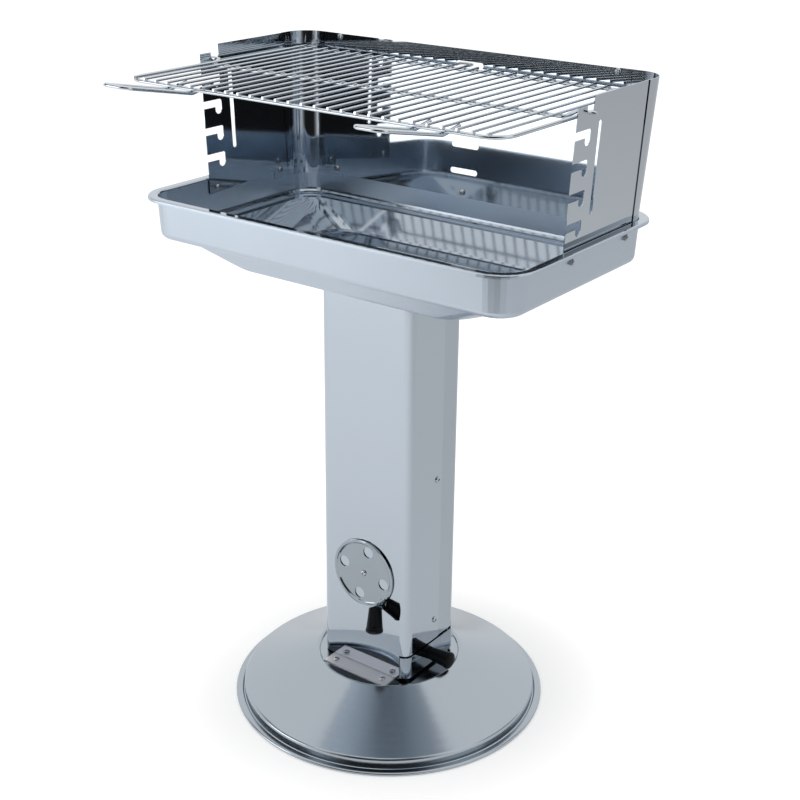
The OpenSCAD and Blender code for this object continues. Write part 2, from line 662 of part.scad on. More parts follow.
back_bottom = -3;
back_screw_x = back_hw - back_screw_edge;
back_joint_h = shield_h - head_r;
module wall_screw_places_side() {
    for (y = [side_screw_front_y, side_screw_rear_y])
        translate([0, y, wall_screw_h]) rotate([0, 90, 0]) children();
}
module wall_screw_places_back() {
    for (x = [-back_screw_x, 0, back_screw_x])
        translate([x, 0, wall_screw_h]) rotate([-90, 0, 0]) children();
}
module wall_hole() {
    translate([0, 0, -4 * shield_t]) cylinder(h = 4 * shield_t + pan_t + cut, r = hole_r);
}
function seat_v(k) = seat_h - k * level_pitch;
mouth_corner = 3;
slot_y = 9;
slot_w = 7;
slot_low = 54.4;
slot_high = 169.2;
// Outline of a side sheet's notch: a mouth open to the front that drops into a round seat
module notch(v) {
    low = seat_y - seat_w / 2;
    high = seat_y + seat_w / 2;
    top = v + 2 * mouth_h;
    translate([side_front_y - cut, v + mouth_h])
        square([high - mouth_corner - side_front_y + cut, mouth_h]);
    translate([low, v + seat_w / 2]) square([seat_w, top - mouth_corner - v - seat_w / 2]);
    translate([high - mouth_corner, top - mouth_corner]) circle(mouth_corner);
    translate([seat_y, v + seat_w / 2]) circle(seat_w / 2);
}
module side_outline() {
    difference() {
        polygon([[side_front_y, side_bottom_front], [side_rear_y, side_bottom_rear],
            [side_rear_y, shield_h], [side_front_y, shield_h]]);
        translate([side_front_y - cut, shield_h - tab_drop])
            square([seat_y + top_seat_w / 2 - side_front_y + cut, tab_drop + cut]);
        translate([seat_y - top_seat_w / 2, seat_v(0) + top_seat_w / 2]) square([top_seat_w, shield_h]);
        translate([seat_y, seat_v(0) + top_seat_w / 2]) circle(top_seat_w / 2);
        for (k = [1:level_n - 1]) notch(seat_v(k));
        translate([slot_y, (slot_low + slot_high) / 2]) rotate(90) round_slot(slot_high - slot_low, slot_w);
    }
}
module shield_side(s) {
    side_frame(s) difference() {
        translate([panel_in, 0, 0]) rotate([90, 0, 90]) linear_extrude(shield_t) side_outline();
        translate([0, side_screw_front_y, wall_screw_h]) rotate([0, 90, 0]) wall_hole();
        translate([panel_in - cut, side_screw_rear_y, wall_screw_h]) rotate([0, 90, 0])
            cylinder(h = shield_t + 2 * cut, r = head_r + sheet_gap);
    }
}
module shield_left() color([0.66, 0.69, 0.73]) shield_side(-1);
module shield_right() color([0.78, 0.81, 0.85]) shield_side(1);
back_top_r = 8;
module shield_back() color([0.7, 0.73, 0.77]) back_frame() difference() {
    translate([0, panel_out, 0]) rotate([90, 0, 0]) linear_extrude(shield_t) difference() {
        union() {
            translate([-back_hw, back_bottom]) square([2 * back_hw, shield_h - back_top_r - back_bottom]);
            translate([back_top_r - back_hw, shield_h - 2 * back_top_r])
                square([2 * (back_hw - back_top_r), 2 * back_top_r]);
            for (s = [-1, 1]) translate([s * (back_hw - back_top_r), shield_h - back_top_r])
                circle(back_top_r);
        }
        for (k = [0:level_n - 1]) translate([0, top_slot_h - k * level_pitch])
            round_slot(back_slot_w, back_slot_h);
    }
    wall_screw_places_back() wall_hole();
    top_joint_places() wall_hole();
}
module top_joint_places() {
    for (s = [-1, 1]) translate([s * back_screw_x, 0, back_joint_h]) rotate([-90, 0, 0]) children();
}
// A corner sheet is bent upright and then leaned about its diagonal, so both flanges follow the walls
corner_lean = atan(sqrt(2) * tan(lean));
flange_back = wall_in(wall_hw) - back_screw_x + 2 * head_r;
flange_side = wall_in(wall_hd) - tab_front_y + cut;
module corner_sheet() {
    x0 = wall_in(wall_hw) + corner_out;
    y0 = wall_in(wall_hd) + corner_out;
    reach = shield_h + 4 * pan_foot_r;
    intersection() {
        translate([x0, y0, lean_z]) rotate(a = corner_lean, v = [-1, 1, 0])
            translate([0, 0, -2 * pan_foot_r]) linear_extrude(reach) difference() {
                corner_solid(0);
                corner_solid(shield_t);
            }
        translate([0, 0, lean_z + tab_bottom])
            cube([wall_hw + lip_w, wall_hd + lip_w, shield_h - tab_bottom]);
    }
}
// The corner's outline, inset by one sheet when its inner side is cut away
module corner_solid(inset) {
    r = corner_r - inset;
    over = inset > 0 ? cut : 0;
    translate([-corner_r, -corner_r]) intersection() {
        circle(r);
        square(corner_r);
    }
    translate([-flange_back - over, -flange_side - over])
        square([flange_back + over - corner_r, flange_side + over - inset]);
    translate([-flange_back - over, -flange_side - over])
        square([flange_back + over - inset, flange_side + over - corner_r]);
}
module shield_corner(s) {
    difference() {
        flip(s) corner_sheet();
        side_frame(s) translate([-corner_r, 0, 0]) rotate([90, 0, 90])
            linear_extrude(2 * corner_r) translate([-wall_hd, side_bottom_rear])
                square([wall_hd + side_rear_y - head_r, 2 * shield_h]);
        side_frame(s) wall_screw_places_side() wall_hole();
        back_frame() {
            wall_screw_places_back() wall_hole();
            top_joint_places() wall_hole();
        }
    }
}
module shield_corner_left() color([0.68, 0.71, 0.75]) shield_corner(-1);
module shield_corner_right() color([0.68, 0.71, 0.75]) shield_corner(1);

// Windshield fasteners. A corner's flange turns inwards a little along its length, because it leans
// about the diagonal, so the rear screws' heads lie on it there.
wall_grip = pan_t + nut_h + screw_end;
flange_turn = (1 - cos(corner_lean)) / 2;
flange_in = corner_in - run_gap - flange_turn * (wall_in(wall_hd) - side_screw_rear_y);
module shield_side_screws() color([0.5, 0.52, 0.55]) for (s = [-1, 1]) side_frame(s) {
    translate([panel_in, side_screw_front_y, wall_screw_h]) rotate([0, -90, 0])
        pan_head_screw(wall_grip - panel_in);
    translate([flange_in, side_screw_rear_y, wall_screw_h]) rotate([0, -90, 0])
        pan_head_screw(wall_grip - flange_in);
}
module shield_side_nuts() color([0.45, 0.47, 0.5]) for (s = [-1, 1]) side_frame(s) wall_screw_places_side()
    translate([0, 0, pan_t]) hex_nut();
module shield_back_screws() color([0.5, 0.52, 0.55]) back_frame()
    for (x = [-back_screw_x, 0, back_screw_x]) translate([x, panel_in, wall_screw_h])
        rotate([90, 0, 0]) pan_head_screw(wall_grip - panel_in);
module shield_back_nuts() color([0.45, 0.47, 0.5]) back_frame() wall_screw_places_back()
    translate([0, 0, pan_t]) hex_nut();
module corner_screws() color([0.5, 0.52, 0.55]) {
    back_frame() top_joint_places() translate([0, 0, panel_in]) rotate([180, 0, 0])
        pan_head_screw(nut_h + screw_end + corner_out - panel_in);
}
module corner_nuts() color([0.45, 0.47, 0.5]) {
    back_frame() top_joint_places() translate([0, 0, corner_out]) hex_nut();
}

// Cooking grate: a wire frame, bars on top of it and a cross wire whose ends rest in the seats. The
// two middle bars are one hairpin, whose end lies in the back sheet's top slot and turns there.
// How deep welded wires sink into each other
weld = 0.15;
grate_w = 2 * (wall_in(wall_hw) + seat_h * sin(lean) + panel_in * cos(lean) - grate_side_gap - wire_r);
grate_rear_y = wall_in(wall_hd) - grate_rear_gap;
grate_front_y = grate_rear_y - grate_d;
bar_n = 2 * floor((grate_w / 2 - bar_edge_gap) / bar_pitch);
cross_y = seat_y - cross_jog;
hop = 2 * wire_r - weld;
frame_z = lean_z + seat_v(0) * cos(lean) + seat_gap + wire_r - hop;
bar_z = frame_z + wire_r + bar_r - weld;
cross_half = wall_in(wall_hw) + seat_v(0) * tan(lean) + 2 * wire_r + 2 * shield_t;
bar_over = 1.5 * wire_r;
tongue_bend_r = bar_pitch / 4;
tongue_y = wall_in(wall_hd) + top_slot_h * sin(lean) + (panel_out + panel_in) / 2 * cos(lean);
module grate_frame() color([0.75, 0.77, 0.8]) {
    hw = grate_w / 2 - grate_corner_r;
    hd = grate_d / 2 - grate_corner_r;
    translate([grate_x, grate_rear_y - grate_d / 2, frame_z]) {
        for (s = [-1, 1]) {
            translate([-hw, s * grate_d / 2, 0]) rotate([0, 90, 0]) cylinder(h = 2 * hw, r = wire_r);
            translate([s * grate_w / 2, hd, 0]) rotate([90, 0, 0]) cylinder(h = 2 * hd, r = wire_r);
        }
        for (q = [0:3]) translate([(q == 0 || q == 3 ? 1 : -1) * hw, (q < 2 ? 1 : -1) * hd, 0])
            rotate([0, 0, 90 * q]) rotate_extrude(angle = 90)
                translate([grate_corner_r, 0]) circle(wire_r);
    }
}
module grate_bars() color([0.78, 0.8, 0.83]) {
    front = grate_front_y - bar_over;
    for (s = [-1, 1], k = [1:bar_n / 2 - 1])
        translate([grate_x + s * (k + 0.5) * bar_pitch, front, bar_z]) rotate([-90, 0, 0])
            cylinder(h = grate_rear_y + wire_r - front, r = bar_r);
    translate([grate_x, 0, bar_z])
        wire([[-bar_pitch / 2, front, 0], [-bar_pitch / 2, tongue_y, 0],
            [bar_pitch / 2, tongue_y, 0], [bar_pitch / 2, front, 0]], bar_r, tongue_bend_r);
}
cross_bend_r = 0.9 * hop;
function cross_half_path(s) =
    [[grate_x + s * ((bar_n - 1) / 2 * bar_pitch + hop), cross_y, frame_z],
     [grate_x + s * (grate_w / 2 - 0.9 * hop), seat_y, frame_z + hop],
     [s * cross_half, seat_y, frame_z + hop]];
module grate_cross_wire() color([0.76, 0.78, 0.81])
    wire(concat(reversed(cross_half_path(-1)), cross_half_path(1)), wire_r, cross_bend_r);
handle_corner_r = 12;
handle_back = 32;
module grate_handles() color([0.76, 0.78, 0.81]) {
    root_z = frame_z - hop - weld;
    rise_back = bar_z - bar_r - wire_r + weld;
    for (s = [-1, 1]) translate([grate_x + s * handle_gap / 2, grate_front_y, 0])
        wire([for (t = [-1, 1]) each
            let (leg = [[t * handle_w / 2, handle_back, rise_back], [t * handle_w / 2, 0, root_z],
                [t * handle_w / 2, -handle_reach, root_z + handle_rise]])
            t < 0 ? leg : reversed(leg)], wire_r, handle_corner_r);
}

base_dish();
foot_bracket_front();
foot_bracket_rear();
foot_screws();
foot_nuts();
column_front();
column_rear();
seam_screws();
column_top_frame();
pan_bolts();
pan_nuts();
damper_disc();
damper_screw();
damper_nut();
damper_knob();
damper_knob_screw();
ash_tray();
tray_front_panel();
tray_knob();
tray_knob_screw();
fire_pan();
ash_grid();
shield_left();
shield_right();
shield_back();
shield_corner_left();
shield_corner_right();
shield_side_screws();
shield_side_nuts();
shield_back_screws();
shield_back_nuts();
corner_screws();
corner_nuts();
grate_frame();
grate_bars();
grate_cross_wire();
grate_handles();
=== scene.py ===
# %% [markdown]
# A pedestal barbecue of thin stainless sheet: a spun base, a tall column, a deep pan, a windshield
# and a chromed wire grate. All of it could be modelled again here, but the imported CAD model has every
# piece at its size already, so it is loaded as a fixed frame, in metres. This script gives it a
# camera, a studio and its finishes, and adds two small things that the CAD model leaves out: weld
# nuggets and thread ends.

# %% The frame
import math
import bpy
import bmesh
from mathutils import Matrix, Vector


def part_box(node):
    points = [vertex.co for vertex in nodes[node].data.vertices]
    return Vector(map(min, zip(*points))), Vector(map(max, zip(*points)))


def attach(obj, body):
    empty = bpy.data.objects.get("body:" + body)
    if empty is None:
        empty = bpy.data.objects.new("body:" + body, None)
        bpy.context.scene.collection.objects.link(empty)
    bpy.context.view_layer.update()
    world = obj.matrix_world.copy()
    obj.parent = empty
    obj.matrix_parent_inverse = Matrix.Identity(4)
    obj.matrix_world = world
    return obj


MM = 0.001

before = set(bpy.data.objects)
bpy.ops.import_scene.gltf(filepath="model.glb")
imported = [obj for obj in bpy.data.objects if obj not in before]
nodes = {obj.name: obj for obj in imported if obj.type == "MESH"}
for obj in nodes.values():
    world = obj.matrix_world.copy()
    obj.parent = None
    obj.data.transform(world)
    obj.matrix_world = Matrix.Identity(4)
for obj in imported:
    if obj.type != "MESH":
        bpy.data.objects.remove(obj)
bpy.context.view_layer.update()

# %% [markdown]
# The photograph was taken from above the barbecue's right front, with a fairly long lens. A camera
# could be aimed by eye, but its place, turn and lens were worked out from edges that show in the
# photograph, so that the render lies on it. The turn is a yaw, a pitch and a small roll.

# %% Camera
CAMERA_PLACE = Vector((1.08645, -1.45770, 1.22218))
CAMERA_YAW = math.radians(36.317)
CAMERA_PITCH = math.radians(-22.682)
CAMERA_ROLL = math.radians(0.651)
CAMERA_LENS = 63.85
SENSOR_WIDTH = 36
CLIP_END = 50


def placed(name, data):
    """Make an object and put it in the scene."""
    made = bpy.data.objects.new(name, data)
    bpy.context.scene.collection.objects.link(made)
    return made


def camera_matrix():
    forward = Vector((-math.sin(CAMERA_YAW) * math.cos(CAMERA_PITCH),
                      math.cos(CAMERA_YAW) * math.cos(CAMERA_PITCH), math.sin(CAMERA_PITCH)))
    level = Vector((math.cos(CAMERA_YAW), math.sin(CAMERA_YAW), 0))
    upright = level.cross(forward)
    right = level * math.cos(CAMERA_ROLL) + upright * math.sin(CAMERA_ROLL)
    up = upright * math.cos(CAMERA_ROLL) - level * math.sin(CAMERA_ROLL)
    turn = Matrix((right, up, -forward)).transposed()
    return Matrix.Translation(CAMERA_PLACE) @ turn.to_4x4()


camera = placed("camera", bpy.data.cameras.new("camera"))
camera.data.lens = CAMERA_LENS
camera.data.sensor_width = SENSOR_WIDTH
camera.data.clip_end = CLIP_END
camera.matrix_world = camera_matrix()
bpy.context.scene.camera = camera
bpy.context.scene.view_settings.view_transform = "Standard"
print("camera at", tuple(round(v, 3) for v in camera.location))

# %% [markdown]
# The world, the materials and the grown pieces below are all trees of nodes. Every node could be
# made and set line by line, but that hides what a tree does. Four short helpers keep the trees
# readable: one empties a tree, one adds a node, one joins sockets and one runs a value from one
# range into another.

# %% Node helpers
def empty_tree(owner):
    """Turn nodes on for a world or a material, and start its tree from nothing."""
    owner.use_nodes = True
    owner.node_tree.nodes.clear()
    return owner.node_tree


def add(tree, kind, **choices):
    """Add a node and set its choices, such as its operation."""
    made = tree.nodes.new(kind)
    for name, value in choices.items():
        setattr(made, name, value)
    return made


def link_all(tree, *pairs):
    for a, b in pairs:
        tree.links.new(a, b)


def map_range(tree, low, high, low_to, high_to, way="SMOOTHSTEP"):
    made = add(tree, "ShaderNodeMapRange", interpolation_type=way)
    made.inputs["From Min"].default_value = low
    made.inputs["From Max"].default_value = high
    made.inputs["To Min"].default_value = low_to
    made.inputs["To Max"].default_value = high_to
    return made


print("helpers: empty_tree, add, link_all, map_range")

# %% [markdown]
# Bright metal shows the room more than itself, and the room here is a white studio. A white dome
# could be built round the barbecue, but a world colour does the same without a mesh. The world is
# white to the camera and in reflections, and a soft grey for everything that it lights, so that
# pale metal keeps its tone.

# %% World
ROOM_LIGHT = 0.72
WHITE = (1, 1, 1, 1)


def seen_directly(tree):
    """1 for rays from the camera and for those that metal and glass send on."""
    path = add(tree, "ShaderNodeLightPath")
    first = add(tree, "ShaderNodeMath", operation="MAXIMUM")
    both = add(tree, "ShaderNodeMath", operation="MAXIMUM")
    link_all(tree, (path.outputs["Is Camera Ray"], first.inputs[0]),
             (path.outputs["Is Glossy Ray"], first.inputs[1]),
             (first.outputs[0], both.inputs[0]),
             (path.outputs["Is Transmission Ray"], both.inputs[1]))
    return both.outputs[0]


def plain_background(tree, strength):
    made = add(tree, "ShaderNodeBackground")
    made.inputs["Color"].default_value = WHITE
    made.inputs["Strength"].default_value = strength
    return made


def make_world():
    world = bpy.data.worlds.new("studio")
    tree = empty_tree(world)
    out = add(tree, "ShaderNodeOutputWorld")
    mix = add(tree, "ShaderNodeMixShader")
    soft = plain_background(tree, ROOM_LIGHT)
    white = plain_background(tree, 1)
    link_all(tree, (seen_directly(tree), mix.inputs[0]), (soft.outputs[0], mix.inputs[1]),
             (white.outputs[0], mix.inputs[2]), (mix.outputs[0], out.inputs[0]))
    bpy.context.scene.world = world


make_world()
print("world: white where it is seen,", ROOM_LIGHT, "where it lights")

# %% [markdown]
# Three soft boxes light the studio: one low at the left front, one high above and one high behind.
# Small lamps would give hard shadows, so each is a large area lamp. The two high ones don't show in
# metal: there they would add to the white world and burn bright patches into the dish and the pan.

# %% Soft boxes
# Name, place, the point it looks at, width and height, power in watts, and whether metal shows it
SOFT_BOXES = (
    ("left_box", (-1.9, -2.5, 0.75), (0, 0, 0.6), (2.2, 1.1), 13, True),
    ("top_box", (-0.7, -0.7, 3.0), (0, 0, 0.5), (2.8, 2.4), 17, False),
    ("back_box", (1.2, 1.7, 2.6), (0, 0, 0.6), (1.6, 1.2), 8, False),
)


def soft_box(name, place, aim, size, power, in_metal):
    data = bpy.data.lights.new(name, "AREA")
    data.shape = "RECTANGLE"
    data.size, data.size_y = size
    data.energy = power
    lamp = placed(name, data)
    lamp.location = place
    lamp.rotation_mode = "QUATERNION"
    lamp.rotation_quaternion = (Vector(aim) - Vector(place)).to_track_quat("-Z", "Y")
    lamp.visible_glossy = in_metal


for box in SOFT_BOXES:
    soft_box(*box)
print("lamps:", ", ".join(box[0] for box in SOFT_BOXES))

# %% [markdown]
# A mirror that sees only white looks like paper. What draws polished steel is the dark side of the
# studio. It could be dark cloth with real light on it, but its tone would then move with every
# lamp, so each screen here is a piece of a round wall with a tone of its own. Two stand one above
# the other on the camera's side, one hangs high at the left front and a paler one hangs at the
# right rear. They show in reflections alone and shade nothing. Their two ends run into white, so
# that no hard upright line crosses the metal.

# %% Dark screens
NEAR_R = 1.5
FAR_R = 2.35
SCREEN_STEPS = 24
# Name, distance, bearing of its middle, half its width and the soft part of that, all three in
# degrees, then its lower and upper edge in metres and its tone
SCREENS = (
    ("camera_side_low", NEAR_R, -74, 45, 32, 0.14, 0.5, 0.1),
    ("camera_side", NEAR_R, -58, 54, 34, 0.5, 2.2, 0.015),
    ("upper_band", FAR_R, -140, 38, 8, 1.2, 2.15, 0.05),
    ("far_side", FAR_R, 41, 21, 8, 0.9, 2.2, 0.35),
)


def reflected_only(piece):
    piece.visible_camera = False
    piece.visible_diffuse = False
    piece.visible_shadow = False
    piece.visible_transmission = False


def screen_paint(name, radius, bearing, half, soft, tone):
    """A glow of one tone that runs into white over the screen's last soft degrees."""
    paint = bpy.data.materials.new(name)
    tree = empty_tree(paint)
    out = add(tree, "ShaderNodeOutputMaterial")
    glow = add(tree, "ShaderNodeEmission")
    place = add(tree, "ShaderNodeTexCoord")
    across = add(tree, "ShaderNodeVectorMath", operation="DOT_PRODUCT")
    middle = math.radians(bearing)
    across.inputs[1].default_value = (math.cos(middle) / radius, math.sin(middle) / radius, 0)
    fade = map_range(tree, math.cos(math.radians(half)), math.cos(math.radians(half - soft)), 1, tone)
    link_all(tree, (place.outputs["Object"], across.inputs[0]),
             (across.outputs["Value"], fade.inputs["Value"]),
             (fade.outputs[0], glow.inputs["Strength"]), (glow.outputs[0], out.inputs[0]))
    return paint


def screen(name, radius, bearing, half, soft, low, high, tone):
    start, step = bearing - half, 2 * half / SCREEN_STEPS
    angles = [math.radians(start + step * k) for k in range(SCREEN_STEPS + 1)]
    points = [(radius * math.cos(a), radius * math.sin(a), z) for a in angles for z in (low, high)]
    faces = [(2 * k, 2 * k + 2, 2 * k + 3, 2 * k + 1) for k in range(SCREEN_STEPS)]
    mesh = bpy.data.meshes.new(name)
    mesh.from_pydata(points, [], faces)
    mesh.materials.append(screen_paint(name, radius, bearing, half, soft, tone))
    wall = placed(name, mesh)
    reflected_only(wall)


for values in SCREENS:
    screen(*values)
print("dark screens:", ", ".join(values[0] for values in SCREENS))

# %% [markdown]
# The floor of a product picture is pale paper that runs into the backdrop with no edge. A curved
# sheet could be modelled, but a flat floor is enough when what the camera sees of it has a painted
# glow of its own: weaker under the base, which paints a soft shade round it on top of the real
# shadow, and stronger further out. In reflections the floor has a painted glow that is stronger at
# the left front than at the right rear, so that two faces of the column differ.

# %% Floor
FLOOR_SIZE = 60
FLOOR_COLOUR = (0.82, 0.82, 0.82, 1)
# Painted glow seen by the camera: NEAR_LIFT round the base paints shade there, FAR_LIFT further out
NEAR_LIFT, FAR_LIFT = 0.28, 0.5
LIFT_STARTS, LIFT_ENDS = 0.235, 0.42
# FLOOR_SHEEN: a painted glow that only reflections see, stronger towards the left front
FLOOR_SHEEN = 0.3
SHEEN_WAY = (-0.6, -0.8, 0)
SHEEN_STARTS, SHEEN_ENDS = -1.2, 0.9


def floor_paint():
    material = bpy.data.materials.new("studio_floor")
    tree = empty_tree(material)
    out = add(tree, "ShaderNodeOutputMaterial")
    matt = add(tree, "ShaderNodeBsdfDiffuse")
    matt.inputs["Color"].default_value = FLOOR_COLOUR
    glow = add(tree, "ShaderNodeEmission")
    path = add(tree, "ShaderNodeLightPath")
    place = add(tree, "ShaderNodeTexCoord")
    along = add(tree, "ShaderNodeVectorMath", operation="DOT_PRODUCT")
    along.inputs[1].default_value = SHEEN_WAY
    side = map_range(tree, SHEEN_STARTS, SHEEN_ENDS, 0, FLOOR_SHEEN)
    sheen = add(tree, "ShaderNodeMath", operation="MULTIPLY")
    away = add(tree, "ShaderNodeVectorMath", operation="LENGTH")
    share = map_range(tree, LIFT_STARTS, LIFT_ENDS, NEAR_LIFT, FAR_LIFT)
    lift = add(tree, "ShaderNodeMath", operation="MULTIPLY_ADD")
    both = add(tree, "ShaderNodeAddShader")
    link_all(tree, (place.outputs["Object"], along.inputs[0]),
             (along.outputs["Value"], side.inputs["Value"]),
             (side.outputs[0], sheen.inputs[0]), (path.outputs["Is Glossy Ray"], sheen.inputs[1]),
             (place.outputs["Object"], away.inputs[0]), (away.outputs["Value"], share.inputs["Value"]),
             (path.outputs["Is Camera Ray"], lift.inputs[0]), (share.outputs[0], lift.inputs[1]),
             (sheen.outputs[0], lift.inputs[2]), (lift.outputs[0], glow.inputs["Strength"]),
             (matt.outputs[0], both.inputs[0]), (glow.outputs[0], both.inputs[1]),
             (both.outputs[0], out.inputs[0]))
    return material


def make_floor():
    mesh = bpy.data.meshes.new("floor")
    h = FLOOR_SIZE / 2
    mesh.from_pydata([(-h, -h, 0), (h, -h, 0), (h, h, 0), (-h, h, 0)], [], [(0, 1, 2, 3)])
    mesh.materials.append(floor_paint())
    placed("floor", mesh)


make_floor()
print("floor:", FLOOR_SIZE, "m wide")

# %% [markdown]
# Every metal here is sheet or wire that was rolled, ground or spun, which leaves fine lines along
# one direction and broad faint smudges. Each material could have its own noise, but the idea is the
# same in all, so one node group makes both and each material says how strong and which way. The
# place is multiplied by Squeeze first: the grain is short along an axis with a large number and
# runs long along the others.

# %% Metal finish group
GRAIN_DETAIL = 3
SMUDGE_DETAIL = 2
SMUDGE_SHARE = 0.5


def finish_group():
    group = bpy.data.node_groups.new("metal_finish", "ShaderNodeTree")
    face = group.interface
    for name in ("Vector", "Squeeze"):
        face.new_socket(name, in_out="INPUT", socket_type="NodeSocketVector")
    for name in ("Grain Scale", "Smudge Scale", "Dull", "Spread"):
        face.new_socket(name, in_out="INPUT", socket_type="NodeSocketFloat")
    for name in ("Roughness", "Height", "Tone"):
        face.new_socket(name, in_out="OUTPUT", socket_type="NodeSocketFloat")
    take = add(group, "NodeGroupInput")
    give = add(group, "NodeGroupOutput")
    squeeze = add(group, "ShaderNodeVectorMath", operation="MULTIPLY")
    grain = add(group, "ShaderNodeTexNoise")
    grain.inputs["Detail"].default_value = GRAIN_DETAIL
    smudge = add(group, "ShaderNodeTexNoise")
    smudge.inputs["Detail"].default_value = SMUDGE_DETAIL
    both = add(group, "ShaderNodeMix")
    both.inputs[0].default_value = SMUDGE_SHARE
    spread = add(group, "ShaderNodeMath", operation="MULTIPLY_ADD")
    link_all(group, (take.outputs["Vector"], squeeze.inputs[0]),
             (take.outputs["Squeeze"], squeeze.inputs[1]),
             (squeeze.outputs[0], grain.inputs["Vector"]),
             (take.outputs["Grain Scale"], grain.inputs["Scale"]),
             (take.outputs["Vector"], smudge.inputs["Vector"]),
             (take.outputs["Smudge Scale"], smudge.inputs["Scale"]),
             (grain.outputs["Fac"], both.inputs[2]), (smudge.outputs["Fac"], both.inputs[3]),
             (both.outputs[0], spread.inputs[0]), (take.outputs["Spread"], spread.inputs[1]),
             (take.outputs["Dull"], spread.inputs[2]), (spread.outputs[0], give.inputs["Roughness"]),
             (grain.outputs["Fac"], give.inputs["Height"]),
             (smudge.outputs["Fac"], give.inputs["Tone"]))
    return group


metal_finish = finish_group()
print("group:", metal_finish.name)

# %% [markdown]
# A metal is the group's grain and smudges on a metallic shader. On the spun base the lines run in
# rings. They could come from a ring texture, but the same grain does it when it is given the
# radius and the height in place of the plain coordinates.

# %% Metal
RELIEF_DEPTH = 0.1 * MM


def turned_coordinates(tree, where):
    """The radius and the height as a place, so that the grain runs in rings."""
    split = add(tree, "ShaderNodeSeparateXYZ")
    flat = add(tree, "ShaderNodeVectorMath", operation="MULTIPLY")
    flat.inputs[1].default_value = (1, 1, 0)
    radius = add(tree, "ShaderNodeVectorMath", operation="LENGTH")
    join = add(tree, "ShaderNodeCombineXYZ")
    link_all(tree, (where, split.inputs[0]), (where, flat.inputs[0]),
             (flat.outputs[0], radius.inputs[0]),
             (split.outputs["Z"], join.inputs["Y"]), (radius.outputs["Value"], join.inputs["X"]))
    return join.outputs[0]


def tone_range(tree, low, high):
    """Two colours with a tone between them to choose by."""
    made = add(tree, "ShaderNodeMix", data_type="RGBA")
    made.inputs["A"].default_value = (*low, 1)
    made.inputs["B"].default_value = (*high, 1)
    return made


def relief_of(tree, strength):
    made = add(tree, "ShaderNodeBump")
    made.inputs["Strength"].default_value = strength
    made.inputs["Distance"].default_value = RELIEF_DEPTH
    return made


def metal(name, colour, dull, spread, squeeze, grain, smudge, bump, tint=0.04, turned=False):
    """Roughness runs from dull to dull + spread, and the colour varies by tint either way."""
    material = bpy.data.materials.new(name)
    material.use_nodes = True
    tree = material.node_tree
    shader = tree.nodes["Principled BSDF"]
    shader.inputs["Metallic"].default_value = 1
    place = add(tree, "ShaderNodeTexCoord")
    finish = add(tree, "ShaderNodeGroup")
    finish.node_tree = metal_finish
    for socket, value in (("Squeeze", squeeze), ("Grain Scale", grain), ("Smudge Scale", smudge),
                          ("Dull", dull), ("Spread", spread)):
        finish.inputs[socket].default_value = value
    tones = tone_range(tree, [c * (1 - tint) for c in colour], [min(1, c * (1 + tint)) for c in colour])
    relief = relief_of(tree, bump)
    where = place.outputs["Object"]
    if turned:
        where = turned_coordinates(tree, where)
    link_all(tree, (where, finish.inputs["Vector"]),
             (finish.outputs["Roughness"], shader.inputs["Roughness"]),
             (finish.outputs["Tone"], tones.inputs["Factor"]),
             (tones.outputs["Result"], shader.inputs["Base Color"]),
             (finish.outputs["Height"], relief.inputs["Height"]),
             (relief.outputs[0], shader.inputs["Normal"]))
    return material


print("metal: makes one finish from a colour, a dullness and a grain")

# %% [markdown]
# The column, the windshield and the damper are polished like a mirror, the pan and the base are
# satin, the wires are chromed, and brackets and screws are plainer. One steel for all would be
# quicker, but the real pieces differ in how they were ground, so each kind gets its own tone,
# dullness and direction of grain. The damper disc's darker tone is painted shade on steel like the
# column's.

# %% Finishes
STEEL = (0.47, 0.525, 0.585)
REAR_SHELL_SHARE = 0.93
UPRIGHT_LINES = RINGS = (60, 60, 1)
LEVEL_LINES = (1, 1, 60)
BROAD_LEVEL_LINES = (2, 2, 60)
LENGTHWISE_LINES = (1, 60, 1)
FINE_EVEN = (20, 20, 20)
EVEN = (1, 1, 1)
rear_steel = [REAR_SHELL_SHARE * c for c in STEEL]

# Each line gives the name, colour, dullness, its spread, squeeze, grain scale, smudge scale and bump
finishes = {
    "column": metal("column_mirror", STEEL, 0.03, 0.04, UPRIGHT_LINES, 8, 5, 0.01, 0.03),
    "shield": metal("shield_mirror", (0.5, 0.55, 0.6), 0.025, 0.04, LEVEL_LINES, 8, 5, 0.01, 0.03),
    "column_back": metal("rear_shell_mirror", rear_steel, 0.04, 0.04, UPRIGHT_LINES, 8, 5, 0.01, 0.03),
    "dish": metal("spun_dish", (0.4, 0.445, 0.49), 0.12, 0.1, RINGS, 14, 6, 0.04, turned=True),
    "pan": metal("satin_pan", (0.5, 0.565, 0.64), 0.29, 0.1, BROAD_LEVEL_LINES, 10, 7, 0.05),
    "inner": metal("inner_sheet", (0.36, 0.38, 0.41), 0.3, 0.1, LENGTHWISE_LINES, 10, 8, 0.05),
    "bracket": metal("bent_bracket", (0.78, 0.76, 0.78), 0.42, 0.1, LENGTHWISE_LINES, 10, 8, 0.04),
    # The disc's darker colour is painted shade, for the dimmer reflection on the same steel as the
    # column
    "disc": metal("pressed_disc_painted_shade", (0.33, 0.375, 0.41), 0.06, 0.06, FINE_EVEN, 8, 12, 0.02),
    "chrome": metal("chromed_wire", (0.6, 0.645, 0.69), 0.07, 0.05, FINE_EVEN, 5, 20, 0.02),
    "screw": metal("screw_steel", (0.5, 0.52, 0.55), 0.16, 0.1, EVEN, 800, 60, 0.1),
}
print("metals:", ", ".join(finishes))

